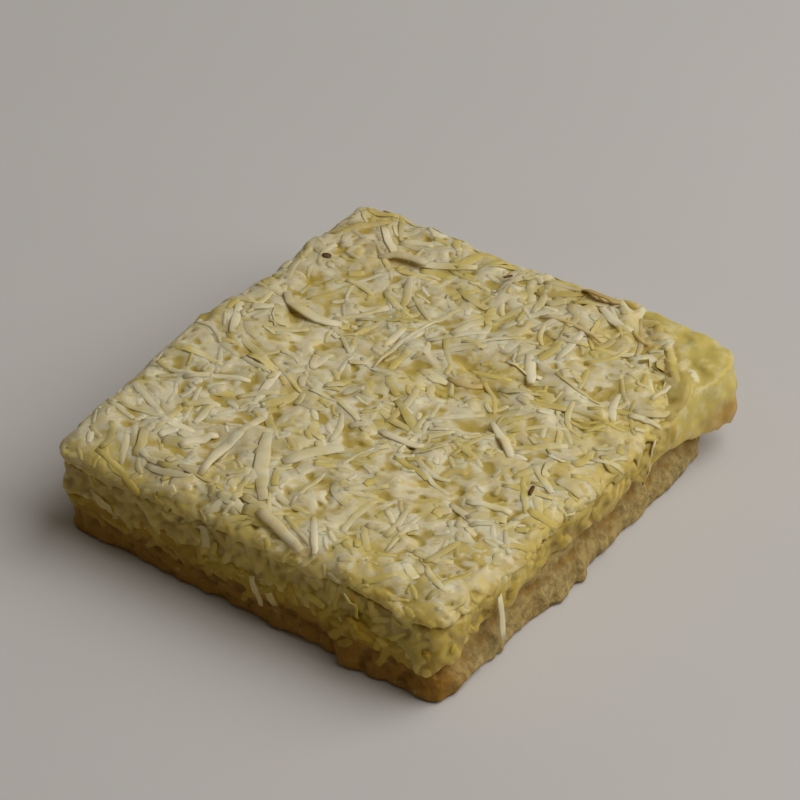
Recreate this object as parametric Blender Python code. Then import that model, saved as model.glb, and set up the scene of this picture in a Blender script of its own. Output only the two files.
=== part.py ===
"""Lemon coconut slice: a biscuit base, a lemon layer and a topping of shredded coconut.

Metres, +Z up. The slice lies flat, its shorter cut side along X and its longer one along Y.
"""

import math
import random
from collections import namedtuple

import bmesh
import bpy
from mathutils import Vector, noise
from mathutils.bvhtree import BVHTree

MM = 0.001

# Driving dimensions
SLICE_X = 66.4 * MM
SLICE_Y = 74.0 * MM
BASE_HEIGHT = 8.0 * MM
LEMON_HEIGHT = 4.2 * MM
LAYER_GAP = 0.3 * MM
TOP_AT_CORNERS = {
    (-1, -1): 17.2 * MM,
    (1, -1): 16.2 * MM,
    (1, 1): 15.2 * MM,
    (-1, 1): 16.3 * MM,
}

LEMON_BOTTOM = BASE_HEIGHT + LAYER_GAP
LEMON_TOP = LEMON_BOTTOM + LEMON_HEIGHT
COCONUT_BOTTOM = LEMON_TOP + LAYER_GAP

# The corner that has no coconut: the arc along which the coconut ends, the groove between it
# and the lemon, and how much higher than the coconut the lemon swells there
BARE_CORNER_RADIUS = 22.0 * MM
BARE_GROOVE = 1.8 * MM
BARE_CORNER_RISE = 0.8 * MM

# Where the lemon ran down over the base at that corner: the middle in plan, the reach, how far
# it ran down, and how deep inside the edge the run starts
RUN_DOWN_X, RUN_DOWN_Y = 35.0 * MM, 37.0 * MM
RUN_DOWN_REACH_X, RUN_DOWN_REACH_Y = 11.0 * MM, 18.0 * MM
RUN_DOWN = 4.6 * MM
RUN_DOWN_DEPTH = 2.5 * MM

# How far each layer's sides stand in from the cut size
BASE_INSET = 0.1 * MM
LEMON_INSET = 0.2 * MM
COCONUT_INSET = -0.3 * MM

# Grid of each layer's solid: cells along X and Y, and how strongly they crowd towards the edges
COARSE_GRID = (20, 22)
FINE_GRID = (26, 28)
EDGE_CROWDING = 1.3
HIDDEN_FACE_MARGIN = 3.0 * MM
SPOT_FADES_OVER = 9.0 * MM

# Coconut shreds
SHRED_WIDTH = 1.25 * MM
SHRED_THICKNESS = 0.65 * MM
SHRED_LENGTH = 7.2 * MM
SHRED_SEGMENTS = 3
TOP_SHRED_SPACING = 5.8 * MM
EDGE_SHRED_SPACING = 7.0 * MM
SIDE_SHRED_SPACING = 10.5 * MM
LEAST_CLEARANCE = 0.35 * MM

SHRED_SEED = 11

Outline = namedtuple("Outline", "half_x half_y radii")
Place = namedtuple("Place", "x y outward depth")

# Where the cut sides stand out from the straight line or fall back from it:
# the middle of the spot in plan, its reach, and how far it moves outwards.
BASE_SPOTS = [
    (Vector((33.0, -8.5)) * MM, 6.0 * MM, 1.3 * MM),
    (Vector((33.0, -33.0)) * MM, 6.0 * MM, 0.4 * MM),
    (Vector((34.0, 37.0)) * MM, 7.5 * MM, -2.8 * MM),
    (Vector((4.0, -37.0)) * MM, 3.5 * MM, 0.7 * MM),
    (Vector((21.0, -37.0)) * MM, 4.0 * MM, 0.8 * MM),
    (Vector((-33.0, 12.0)) * MM, 7.0 * MM, 0.8 * MM),
    (Vector((-10.0, 37.0)) * MM, 8.0 * MM, 0.7 * MM),
]
UPPER_SPOTS = [
    (Vector((33.5, 37.0)) * MM, 8.0 * MM, 1.8 * MM),
    (Vector((33.2, 2.0)) * MM, 9.0 * MM, 0.7 * MM),
    (Vector((33.2, -18.0)) * MM, 5.0 * MM, 0.6 * MM),
    (Vector((33.2, -10.0)) * MM, 3.0 * MM, -0.6 * MM),
    (Vector((-33.2, -37.0)) * MM, 9.0 * MM, 1.0 * MM),
    (Vector((14.0, -37.0)) * MM, 6.0 * MM, -0.6 * MM),
    (Vector((-33.2, -9.0)) * MM, 14.0 * MM, 1.5 * MM),
    (Vector((-33.2, 24.0)) * MM, 9.0 * MM, 0.7 * MM),
    (Vector((12.0, 37.0)) * MM, 16.0 * MM, 1.2 * MM),
    (Vector((21.0, 37.0)) * MM, 6.0 * MM, 0.8 * MM),
]
# Hummocks and hollows of the top: the middle in plan, the reach, and how far it rises.
TOP_SPOTS = [
    (Vector((5.0, 9.0)) * MM, 6.5 * MM, -1.0 * MM),
    (Vector((-33.0, -1.0)) * MM, 13.0 * MM, 1.7 * MM),
    (Vector((-33.0, -30.0)) * MM, 8.0 * MM, 0.5 * MM),
    (Vector((10.0, 37.0)) * MM, 14.0 * MM, 0.8 * MM),
    (Vector((25.0, 36.0)) * MM, 8.0 * MM, 1.3 * MM),
]


def clear_scene():
    for obj in list(bpy.data.objects):
        bpy.data.objects.remove(obj)


def new_collection(name):
    collection = bpy.data.collections.new(name)
    bpy.context.scene.collection.children.link(collection)
    return collection


def new_material(name, colour, roughness):
    material = bpy.data.materials.new(name)
    material.use_nodes = True
    shader = material.node_tree.nodes["Principled BSDF"]
    shader.inputs["Base Color"].default_value = (*colour, 1.0)
    shader.inputs["Roughness"].default_value = roughness
    shader.inputs["Metallic"].default_value = 0.0
    return material


def mesh_object(name, bm, collection, material):
    mesh = bpy.data.meshes.new(name)
    bm.normal_update()
    bm.to_mesh(mesh)
    bm.free()
    mesh.materials.append(material)
    obj = bpy.data.objects.new(name, mesh)
    collection.objects.link(obj)
    return obj


def waves(point, size, seed):
    """A smooth value from about -1 to 1 that changes over the given size."""
    return noise.noise(Vector(point) / size + Vector((seed, -2.3 * seed, 0.7 * seed)))


def smooth_step(value):
    value = min(1.0, max(0.0, value))
    return value * value * (3.0 - 2.0 * value)


def spots_at(spots, x, y):
    """What the spots add up to at this place, each fading over its reach."""
    moved = 0.0
    for middle, reach, amount in spots:
        near = (Vector((x, y)) - middle).length / reach
        moved += amount * math.exp(-near * near)
    return moved


def top_height(x, y):
    """The slice's own top, tilted between its four corners."""
    u = 0.5 + x / SLICE_X
    v = 0.5 + y / SLICE_Y
    corner = TOP_AT_CORNERS
    near = corner[-1, -1] * (1 - u) + corner[1, -1] * u
    far = corner[-1, 1] * (1 - u) + corner[1, 1] * u
    return near * (1 - v) + far * v


def grid_box(columns, rows, levels):
    """A closed box from -1 to 1 in X and Y and 0 to 1 in Z, cut into a grid."""
    bm = bmesh.new()
    bmesh.ops.create_cube(bm, size=2.0)
    for vertex in bm.verts:
        vertex.co.z = (vertex.co.z + 1.0) / 2.0
    for axis, cells in enumerate((columns, rows, levels)):
        along = []
        for edge in bm.edges:
            run = edge.verts[1].co - edge.verts[0].co
            if abs(run[axis]) > 0.5 * run.length:
                along.append(edge)
        bmesh.ops.subdivide_edges(bm, edges=along, cuts=cells - 1)
    return bm


def place_in(outline, u, v):
    """Where a grid point lies in plan, the way out from it, and its depth inside the edge."""
    side_x = math.copysign(1.0, u)
    side_y = math.copysign(1.0, v)
    x = outline.half_x * (1.0 - (1.0 - abs(u)) ** EDGE_CROWDING)
    y = outline.half_y * (1.0 - (1.0 - abs(v)) ** EDGE_CROWDING)
    radius = outline.radii[side_x > 0, side_y > 0]
    past_x = x - (outline.half_x - radius)
    past_y = y - (outline.half_y - radius)
    if past_x > 0 and past_y > 0:
        reach = max(past_x, past_y)
        across = math.hypot(past_x, past_y)
        x += past_x * (reach / across - 1.0)
        y += past_y * (reach / across - 1.0)
        outward = Vector((side_x * past_x, side_y * past_y)) / across
        return Place(side_x * x, side_y * y, outward, radius - reach)
    if outline.half_x - x < outline.half_y - y:
        return Place(side_x * x, side_y * y, Vector((side_x, 0)), outline.half_x - x)
    return Place(side_x * x, side_y * y, Vector((0, side_y)), outline.half_y - y)


def round_over(depth, radius):
    """How far a rounded edge drops at this depth inside the outline."""
    if depth >= radius:
        return 0.0
    return radius - math.sqrt(max(0.0, radius * radius - (radius - depth) ** 2))


def slab(outline, grid, levels, height_at, relief_at, spots, flat_bottom, flat_top):
    """A layer's solid. height_at gives Z and relief_at how far a side stands out, from (place, w).

    A flat bottom or top that another layer hides becomes one face.
    """
    bm = grid_box(*grid, levels)
    buried = {0: set(), 1: set()}
    middle = place_in(outline, 0.0, 0.0)
    for vertex in bm.verts:
        u, v, w = vertex.co
        place = place_in(outline, u, v)
        on_side = max(abs(u), abs(v)) > 0.999
        outwards = relief_at(place, w) if on_side else 0.0
        spread = 1.0 - smooth_step(place.depth / SPOT_FADES_OVER)
        outwards += spread * spots_at(spots, place.x, place.y)
        vertex.co = Vector((place.x, place.y, height_at(place, w)))
        vertex.co.xy += place.outward * outwards
        level = abs(vertex.co.z - height_at(middle, w)) < 0.001 * MM
        if place.depth > HIDDEN_FACE_MARGIN and round(w, 3) in buried and level:
            buried[round(w)].add(vertex)
    hidden = []
    for wanted, level in ((flat_bottom, 0), (flat_top, 1)):
        if wanted:
            hidden.append([f for f in bm.faces if buried[level].issuperset(f.verts)])
    for faces in hidden:
        bmesh.ops.dissolve_faces(bm, faces=faces, use_verts=True)
    return bm


def base_outline():
    radii = {
        (False, False): 2.6 * MM,
        (True, False): 3.0 * MM,
        (True, True): 6.0 * MM,
        (False, True): 4.5 * MM,
    }
    return Outline(SLICE_X / 2 - BASE_INSET, SLICE_Y / 2 - BASE_INSET, radii)


def base_side(place, w):
    """Crumbly cut sides. The +X side falls back under the lemon layer's lip."""
    x, y = place.x, place.y
    z = w * BASE_HEIGHT
    crags = 0.45 * MM * waves((x, y, z), 4.2 * MM, 3)
    crags += 0.35 * MM * waves((x, y, z), 1.7 * MM, 8)
    under_lip = 0.0
    if x > 0 and place.outward.x > 0.7:
        under_lip = -1.7 * MM * smooth_step((w - 0.2) / 0.5)
    foot = -0.2 * MM * (1.0 - smooth_step(w / 0.18))
    return crags + under_lip + foot


def interface_wave(x, y):
    """How the border between two layers rises and falls round the sides."""
    return 0.45 * MM * waves((x, y, 0), 6.5 * MM, 21)


def base_height(place, w):
    """The underside is flat. The top rises and falls only at the sides, where it shows."""
    edge = smooth_step(1.0 - place.depth / HIDDEN_FACE_MARGIN)
    top = BASE_HEIGHT + edge * interface_wave(place.x, place.y)
    return w * top


def biscuit_base(collection, material):
    bm = slab(base_outline(), COARSE_GRID, 5, base_height, base_side, BASE_SPOTS, True, True)
    return mesh_object("biscuit_base", bm, collection, material)


def upper_outline(inset, bare_corner):
    radii = {
        (False, False): 3.0 * MM,
        (True, False): 3.6 * MM,
        (True, True): bare_corner,
        (False, True): 5.0 * MM,
    }
    return Outline(SLICE_X / 2 - inset, SLICE_Y / 2 - inset, radii)


def bare_wave(x, y):
    """The ragged line along which the coconut ends at its bare corner."""
    return 1.0 * MM * waves((x, y, 0), 4.5 * MM, 61)


def bare_corner(x, y):
    """How far past the coconut's edge this place is, at the +X +Y corner where lemon shows."""
    middle_x = SLICE_X / 2 - COCONUT_INSET - BARE_CORNER_RADIUS
    middle_y = SLICE_Y / 2 - COCONUT_INSET - BARE_CORNER_RADIUS
    if x < middle_x or y < middle_y:
        return -BARE_CORNER_RADIUS
    return math.hypot(x - middle_x, y - middle_y) - BARE_CORNER_RADIUS - bare_wave(x, y)


def lemon_side(place, w):
    """Soft bulging sides with a lip at the foot and dimples from the coconut in it."""
    x, y = place.x, place.y
    z = w * LEMON_HEIGHT
    bulge = 0.5 * MM * math.sin(math.pi * (0.15 + 0.7 * w))
    soft = 0.45 * MM * waves((x, y, z), 5.0 * MM, 31)
    dimples = 0.25 * MM * waves((x, y, z), 1.9 * MM, 37)
    return bulge + soft + dimples


def lemon_height(place, w):
    """Flat inside. Bare of coconut at one corner, where it swells to the top and ran down the base."""
    x, y = place.x, place.y
    edge = smooth_step(1.0 - place.depth / HIDDEN_FACE_MARGIN)
    bottom = LEMON_BOTTOM + edge * interface_wave(x, y)
    away = math.hypot((x - RUN_DOWN_X) / RUN_DOWN_REACH_X, (y - RUN_DOWN_Y) / RUN_DOWN_REACH_Y)
    near = smooth_step(1.0 - away)
    bottom -= RUN_DOWN * near * smooth_step(1.0 - place.depth / RUN_DOWN_DEPTH)
    top = LEMON_TOP + edge * 0.8 * interface_wave(y, x)
    past = bare_corner(x, y)
    full = top_height(x, y) + BARE_CORNER_RISE * near - LEMON_TOP
    swell = full * smooth_step((past - BARE_GROOVE) / (1.2 * MM))
    top += swell - min(swell + 0.6 * MM, round_over(place.depth, 2.2 * MM)) * (swell > 0)
    return bottom + w * (top - bottom)


def lemon_core(collection, material):
    outline = upper_outline(LEMON_INSET, 4.0 * MM)
    bm = slab(outline, FINE_GRID, 4, lemon_height, lemon_side, UPPER_SPOTS, True, True)
    return mesh_object("lemon_layer", bm, collection, material)


def coconut_side(place, w):
    x, y = place.x, place.y
    z = COCONUT_BOTTOM + w * (top_height(x, y) - COCONUT_BOTTOM)
    shaggy = 0.35 * MM * waves((x, y, z), 2.6 * MM, 41)
    soft = 0.3 * MM * waves((x, y, z), 6.0 * MM, 43)
    if place.outward.x > 0.05 and place.outward.y > 0.05 and x > 0:
        return bare_wave(x, y) - 0.5 * BARE_GROOVE
    return shaggy + soft


def coconut_relief(x, y):
    """Hollows and hummocks of the matted coconut, about as wide as the shreds are long."""
    broad = 0.7 * MM * waves((x, y, 0), 13.0 * MM, 51)
    hummocks = 0.45 * MM * waves((x, y, 0), 5.0 * MM, 53)
    fine = 0.35 * MM * waves((x, y, 0), 2.4 * MM, 57)
    return broad + hummocks + fine + spots_at(TOP_SPOTS, x, y)


def coconut_height(place, w):
    x, y = place.x, place.y
    edge = smooth_step(1.0 - place.depth / HIDDEN_FACE_MARGIN)
    bottom = COCONUT_BOTTOM + edge * 0.8 * interface_wave(y, x)
    top = top_height(x, y) - 0.3 * MM + coconut_relief(x, y)
    room = max(0.8 * MM, top - bottom - 0.9 * MM)
    top -= min(room, round_over(place.depth, 1.9 * MM))
    return bottom + w * (max(top, bottom + 0.8 * MM) - bottom)


def coconut_core(collection, material):
    outline = upper_outline(COCONUT_INSET, BARE_CORNER_RADIUS)
    bm = slab(outline, COARSE_GRID, 2, coconut_height, coconut_side, UPPER_SPOTS, True, False)
    return mesh_object("coconut_topping", bm, collection, material)


def tree_of(obj):
    bm = bmesh.new()
    bm.from_mesh(obj.data)
    bmesh.ops.triangulate(bm, faces=bm.faces)
    tree = BVHTree.FromBMesh(bm)
    bm.free()
    return tree


def height_outside(tree, point):
    """Signed distance from a core's surface: below zero inside it."""
    spot, normal, _, distance = tree.find_nearest(point)
    return distance if (point - spot).dot(normal) >= 0 else -distance


def shred_mesh(tree, middle, direction, length, width, thickness, bend, curl):
    """One shred: a box cut in its length, each ring laid along the core's surface.

    It lies half sunk in its middle, and curl lifts its ends.
    """
    bm = bmesh.new()
    bmesh.ops.create_cube(bm, size=1.0)
    lengthwise = [e for e in bm.edges if abs(e.verts[0].co.x - e.verts[1].co.x) > 0.5]
    bmesh.ops.subdivide_edges(bm, edges=lengthwise, cuts=SHRED_SEGMENTS - 1)
    spot, normal, _, _ = tree.find_nearest(middle)
    direction = (direction - normal * direction.dot(normal)).normalized()
    across = normal.cross(direction)
    for vertex in bm.verts:
        along, side, up = vertex.co
        taper = 1.0 - 0.35 * (2.0 * along) ** 2
        station = spot + direction * along * length
        station += across * bend * length * (along * along - 0.1)
        on_core, out, _, _ = tree.find_nearest(station)
        out = (out + normal * 2.0).normalized()
        lift = 0.1 * MM + curl * (2.0 * along) ** 2
        vertex.co = on_core + out * (lift + up * thickness)
        vertex.co += out.cross(direction).normalized() * side * width * taper
    return bm


def keep_outer_body(obj):
    """Drops what fusing seals inside or leaves loose, so that one closed body is left."""
    bm = bmesh.new()
    bm.from_mesh(obj.data)
    bmesh.ops.triangulate(bm, faces=bm.faces)
    bodies = []
    unseen = set(bm.faces)
    while unseen:
        body, edge_of = set(), [unseen.pop()]
        while edge_of:
            face = edge_of.pop()
            body.add(face)
            for edge in face.edges:
                if len(edge.link_faces) == 2:
                    fresh = [f for f in edge.link_faces if f in unseen]
                    unseen.difference_update(fresh)
                    edge_of.extend(fresh)
        bodies.append(body)
    bodies.sort(key=len)
    loose = [face for body in bodies[:-1] for face in body]
    bmesh.ops.delete(bm, geom=loose, context="FACES")
    bm.to_mesh(obj.data)
    bm.free()


def fuse(core, shreds):
    """Joins the shreds to their core with one Boolean, and removes them."""
    union = core.modifiers.new("fused shreds", "BOOLEAN")
    union.operation = "UNION"
    union.operand_type = "COLLECTION"
    union.collection = shreds
    bpy.context.view_layer.objects.active = core
    core.select_set(True)
    bpy.ops.object.modifier_apply(modifier=union.name)
    for shred in list(shreds.objects):
        bpy.data.objects.remove(shred)
    bpy.data.collections.remove(shreds)
    keep_outer_body(core)


def clear_of(bm, others):
    """Whether every point of a shred keeps its distance from the other layers."""
    for vertex in bm.verts:
        for tree in others:
            if height_outside(tree, vertex.co) < LEAST_CLEARANCE:
                return False
    return all(vertex.co.z > LEAST_CLEARANCE for vertex in bm.verts)


def add_shreds(core, others, starts, material, draw):
    """Lays a shred on the core at each start that leaves room for it, and fuses them all.

    A start is a point, the way the shred runs, and how long it is beside the usual length.
    """
    tree = tree_of(core)
    shreds = new_collection(core.name + "_shreds")
    for point, direction, share in starts:
        bm = shred_mesh(
            tree,
            point,
            direction,
            SHRED_LENGTH * share * draw.uniform(0.75, 1.25),
            SHRED_WIDTH * draw.uniform(0.8, 1.35),
            SHRED_THICKNESS * draw.uniform(0.85, 1.15),
            draw.uniform(-0.35, 0.35),
            draw.uniform(0.0, 0.5) * MM,
        )
        if clear_of(bm, others):
            mesh_object("shred", bm, shreds, material)
        else:
            bm.free()
    fuse(core, shreds)


def top_starts(draw):
    """Jittered places all over the top, each with its own direction."""
    starts = []
    across = round((SLICE_X - 5.0 * MM) / TOP_SHRED_SPACING)
    along = round((SLICE_Y - 5.0 * MM) / TOP_SHRED_SPACING)
    for i in range(across):
        for j in range(along):
            x = (i + 0.5 - across / 2 + draw.uniform(-0.4, 0.4)) * TOP_SHRED_SPACING
            y = (j + 0.5 - along / 2 + draw.uniform(-0.4, 0.4)) * TOP_SHRED_SPACING
            turn = draw.uniform(0.0, math.pi)
            if bare_corner(x, y) < -2.5 * MM:
                direction = Vector((math.cos(turn), math.sin(turn), 0.0))
                starts.append((Vector((x, y, 0.03)), direction, 1.0))
    return starts


def rim_points(outline, spacing, draw):
    """Jittered points round a layer's outline, with the way out at each."""
    points = []
    sides = (
        (Vector((1, 0)), outline.half_x, outline.half_y),
        (Vector((-1, 0)), outline.half_x, outline.half_y),
        (Vector((0, 1)), outline.half_y, outline.half_x),
        (Vector((0, -1)), outline.half_y, outline.half_x),
    )
    for outward, reach, half_length in sides:
        sideways = Vector((-outward.y, outward.x))
        count = round((2 * half_length - 9.0 * MM) / spacing)
        for k in range(count):
            along = (k + 0.5 - count / 2 + draw.uniform(-0.35, 0.35)) * spacing
            points.append((outward * reach + sideways * along, outward))
    return points


def edge_starts(draw):
    """Shreds that lie over the top edge and hang down the sides a little."""
    starts = []
    for point, outward in rim_points(upper_outline(0.8 * MM, 6.0 * MM), EDGE_SHRED_SPACING, draw):
        lean = draw.uniform(-0.9, 0.9)
        height = COCONUT_BOTTOM + draw.uniform(0.9, 1.8) * MM
        sideways = Vector((-outward.y, outward.x, 0.0))
        if bare_corner(point.x, point.y) < -4.0 * MM:
            direction = Vector((0, 0, -1)) + sideways * lean * 1.5
            starts.append((Vector((point.x, point.y, height)), direction, 0.6))
    return starts


def side_starts(draw):
    """Shreds that show at the cut sides of the lemon layer."""
    starts = []
    for point, outward in rim_points(upper_outline(0, 6.0 * MM), SIDE_SHRED_SPACING, draw):
        height = LEMON_BOTTOM + draw.uniform(0.4, 0.6) * LEMON_HEIGHT
        sideways = Vector((-outward.y, outward.x, 0.0))
        direction = sideways + Vector((0, 0, draw.uniform(-0.8, 0.8)))
        starts.append((Vector((point.x, point.y, height)), direction, 0.55))
    return starts


def centre_on_footprint(parent, nodes):
    """Moves the slice so that its origin is the middle of its bounding box's foot."""
    corners = [Vector(v.co) for node in nodes for v in node.data.vertices]
    low = Vector([min(c[i] for c in corners) for i in range(3)])
    high = Vector([max(c[i] for c in corners) for i in range(3)])
    parent.location = (-(low.x + high.x) / 2, -(low.y + high.y) / 2, -low.z)


def main():
    clear_scene()
    draw = random.Random(SHRED_SEED)
    collection = new_collection("lemon_coconut_slice")
    parent = bpy.data.objects.new("slice_origin", None)
    collection.objects.link(parent)

    biscuit = new_material("biscuit", (0.52, 0.37, 0.17), 0.75)
    lemon = new_material("lemon", (0.72, 0.55, 0.12), 0.45)
    coconut = new_material("coconut", (0.78, 0.70, 0.45), 0.6)

    base = biscuit_base(collection, biscuit)
    lemon_layer = lemon_core(collection, lemon)
    topping = coconut_core(collection, coconut)
    base_tree, topping_tree = tree_of(base), tree_of(topping)

    add_shreds(lemon_layer, [base_tree, topping_tree], side_starts(draw), lemon, draw)
    lemon_tree = tree_of(lemon_layer)
    starts = top_starts(draw) + edge_starts(draw)
    add_shreds(topping, [base_tree, lemon_tree], starts, coconut, draw)

    nodes = [base, lemon_layer, topping]
    for node in nodes:
        node.parent = parent
    centre_on_footprint(parent, nodes)


main()
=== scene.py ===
"""Dresses a lemon coconut slice: crumbly biscuit, moist lemon curd and matted coconut shreds."""

import math
from collections import namedtuple

import bmesh
import bpy
import numpy as np
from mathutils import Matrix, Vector, noise
from mathutils.bvhtree import BVHTree


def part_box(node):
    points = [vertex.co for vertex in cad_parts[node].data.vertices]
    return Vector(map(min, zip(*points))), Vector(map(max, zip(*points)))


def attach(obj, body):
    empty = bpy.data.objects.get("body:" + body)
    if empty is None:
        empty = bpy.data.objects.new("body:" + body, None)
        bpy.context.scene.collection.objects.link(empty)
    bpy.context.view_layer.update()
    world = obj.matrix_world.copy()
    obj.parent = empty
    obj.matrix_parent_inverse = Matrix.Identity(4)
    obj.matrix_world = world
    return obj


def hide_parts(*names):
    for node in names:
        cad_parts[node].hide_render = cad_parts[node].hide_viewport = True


bl_info = {
    "name": "Lemon Coconut Slice",
    "version": (1, 0, 0),
    "blender": (4, 5, 0),
    "location": "3D View > Sidebar > Slice",
    "description": "Builds a cut slice with a biscuit base, lemon curd and shredded coconut",
    "category": "Add Mesh",
}

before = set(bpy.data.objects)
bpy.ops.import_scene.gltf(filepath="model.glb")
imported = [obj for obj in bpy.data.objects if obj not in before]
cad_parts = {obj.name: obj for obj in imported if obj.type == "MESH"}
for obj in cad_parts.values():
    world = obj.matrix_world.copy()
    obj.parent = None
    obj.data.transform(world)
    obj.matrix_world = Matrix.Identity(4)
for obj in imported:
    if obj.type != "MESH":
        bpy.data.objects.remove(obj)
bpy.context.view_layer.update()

MM = 0.001
BODY = "root"
# Hidden flat faces with shreds standing in them are merged in tiles this wide.
TILE = 6.0 * MM
TILE_GAP = 0.25 * MM
# How finely each piece is meshed, before and after shreds are pressed in.
BISCUIT_MESH, CURD_MESH, BED_MESH = 0.3 * MM, 0.36 * MM, 0.42 * MM
BISCUIT_SKIN, CURD_SKIN, BED_SKIN = 0.28 * MM, 0.32 * MM, 0.3 * MM
# Shares of a shred: half the width of its upper face, its underside, and how deep it is set.
UPPER_EDGE, UNDERSIDE, SET_IN = 0.36, -0.45, 0.1
SHRED_SEGMENTS = 6
FLOOR_CLEARANCE = 0.4 * MM
# Where the photo was taken from: degrees above the table and round from -Y, and what it looks at.
CAMERA_ELEVATION, CAMERA_AZIMUTH = 38.03, 35.88
CAMERA_MIDDLE = Vector((0.046, -0.445, 7.93)) * MM
CAMERA_RAISED, CAMERA_LEFT = 5.58 * MM, 0.305 * MM

BASE_LOW, BASE_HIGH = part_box("biscuit_base")
CURD_LOW, CURD_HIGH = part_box("lemon_layer")
TOPPING_LOW, TOPPING_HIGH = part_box("coconut_topping")

Kind = namedtuple("Kind", "name count length width thickness taper curl")
# A listed shred: both ends and the width in mm, how far its middle bows aside, and its stains.
Chosen = namedtuple("Chosen", "start end width bow soak toast", defaults=(0.0, 0.1, 0.0))
Lump = namedtuple("Lump", "x y reach out")

# Where the oven browned the top: middle in plan and reach in mm, and how strongly.
BROWNED = (
    (-26.0, 26.0, 13.0, 0.5),
    (6.0, 8.8, 6.0, 0.7),
    (10.5, 36.0, 6.0, 0.9),
    (21.0, 31.0, 4.5, 0.8),
    (-14.0, -8.0, 2.8, 1.0),
    (11.0, 26.0, 6.0, 0.5),
    (4.0, 34.0, 5.0, 0.5),
)
# Where the curd has soaked up to the surface: middle in plan and reach in mm.
SOAKED = (
    (20.5, -36.5, 5.0),
    (29.5, -37.0, 5.0),
    (-12.3, -14.4, 3.0),
    (4.0, 34.0, 4.0),
    (8.5, 9.5, 4.0),
    (-3.0, -35.0, 3.0),
    (-27.0, -35.0, 4.0),
    (31.5, -14.0, 3.5),
    (31.3, 22.8, 3.5),
)
# The corner nearest the camera, over which the curd sags most.
NEAR_CORNER = Vector((31.0, -38.0)) * MM
# The arc in plan, in mm, along which the coconut ends at the bare corner.
BARE_FROM_X, BARE_FROM_Y, BARE_RADIUS = 11.5, 15.0, 22.0

# Crumbs that stand out at the foot of the base.
FOOT_LUMPS = (
    Lump(18.0, -37.5, 3.0, 1.0),
    Lump(22.5, -37.0, 2.2, 0.8),
    Lump(31.5, -36.0, 2.6, 0.9),
    Lump(33.3, -3.0, 2.4, 1.0),
    Lump(33.2, -24.0, 2.4, 0.6),
    Lump(-33.0, 5.0, 3.0, 0.8),
    Lump(-12.0, 37.0, 3.0, 0.8),
)

# Shreds that catch the eye, most of them long, wide or hanging free.
CHOSEN_SHREDS = (
    Chosen((-11.9, -32.4, 16.8), (-12.9, -16.7, 16.3), 1.9, 0.7),
    Chosen((-9.6, -19.7, 16.9), (-1.3, -32.0, 16.7), 2.4, -0.5, 0.0),
    Chosen((-0.7, -34.0, 16.6), (8.9, -36.6, 15.6), 1.7, 0.2, 0.15, 0.1),
    Chosen((6.3, -30.1, 16.3), (10.9, -36.4, 15.8), 1.2, 0.1, 0.0),
    Chosen((-4.4, -23.0, 16.5), (0.4, -15.2, 16.2), 2.4, 0.3, 0.0),
    Chosen((-7.1, 2.2, 16.2), (-6.4, 17.2, 16.0), 0.9, 0.6, 0.2),
    Chosen((-27.2, 8.2, 17.3), (-17.0, 8.1, 16.2), 2.2, -1.8, 0.0),
    Chosen((-18.5, -15.4, 16.6), (-14.2, -10.8, 16.3), 1.3, 0.5, 0.3),
    Chosen((-18.5, -28.7, 16.2), (-15.7, -23.7, 16.5), 1.7, 0.2, 0.0),
    Chosen((-23.6, -21.5, 16.8), (-19.4, -17.9, 16.6), 1.4, 0.4, 0.1),
    Chosen((9.3, 18.3, 15.9), (13.5, 12.8, 15.8), 1.8, 0.1, 0.0),
    Chosen((28.5, 15.9, 15.2), (33.2, 17.4, 13.8), 1.2, 0.3, 0.0),
    Chosen((29.4, 20.2, 15.4), (30.6, 26.4, 14.9), 0.9, 0.3, 0.3),
    Chosen((28.7, -2.9, 15.9), (33.4, -3.4, 14.9), 2.3, 0.1, 0.0),
    Chosen((33.6, 15.2, 13.2), (33.3, 12.6, 6.4), 1.2, 0.2, -0.6, 0.15),
    Chosen((34.5, -25.2, 12.2), (34.4, -23.9, 3.4), 1.7, 0.1, -0.8),
    Chosen((1.4, -38.2, 8.4), (2.6, -38.1, 3.4), 1.6, 0.2, -0.3),
    Chosen((3.4, -38.4, 9.0), (5.4, -38.2, 4.8), 1.6, 0.2, -0.15),
    Chosen((10.2, -38.1, 9.4), (14.0, -38.1, 8.9), 1.1, 0.1, 0.3),
    Chosen((-27.6, -38.5, 10.0), (-23.2, -38.2, 6.8), 2.4, 0.3, -0.25),
    Chosen((-7.9, -38.0, 12.8), (-6.6, -38.0, 9.0), 1.7, 0.2, -0.3),
    Chosen((-5.4, -38.0, 10.8), (-5.9, -38.0, 7.6), 1.3, 0.1, 0.6),
    Chosen((17.2, -37.9, 12.8), (19.6, -37.9, 9.4), 1.2, 0.3, 0.7),
    Chosen((5.5, 26.5, 16.2), (16.6, 26.3, 16.2), 0.8, 1.3, 0.5, 0.4),
    Chosen((7.4, 35.4, 16.6), (13.8, 35.8, 16.6), 1.6, -0.5, 0.8, 0.7),
    Chosen((18.8, 31.6, 16.4), (22.4, 30.2, 16.2), 0.9, -0.3, 0.8, 0.4),
    Chosen((7.6, 9.0, 15.2), (2.6, 7.4, 15.6), 1.3, 0.6, 0.8, 0.5),
    Chosen((21.2, -14.6, 16.0), (27.8, -12.8, 15.9), 1.6, 0.4, 0.0),
    Chosen((14.4, 1.6, 16.0), (20.8, -3.0, 16.0), 1.7, 0.5, 0.0),
    Chosen((2.4, -8.8, 16.3), (9.6, -8.2, 16.2), 1.8, -0.7, 0.0),
    Chosen((-22.4, 24.6, 16.6), (-15.2, 27.0, 16.4), 1.8, 0.8, 0.1, 0.2),
    Chosen((-34.6, -10.0, 13.0), (-34.8, -12.6, 6.0), 1.2, 0.3, 0.4),
    Chosen((-8.0, 37.9, 13.0), (-9.6, 37.9, 7.0), 1.3, 0.3, 0.4),
)
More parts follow.
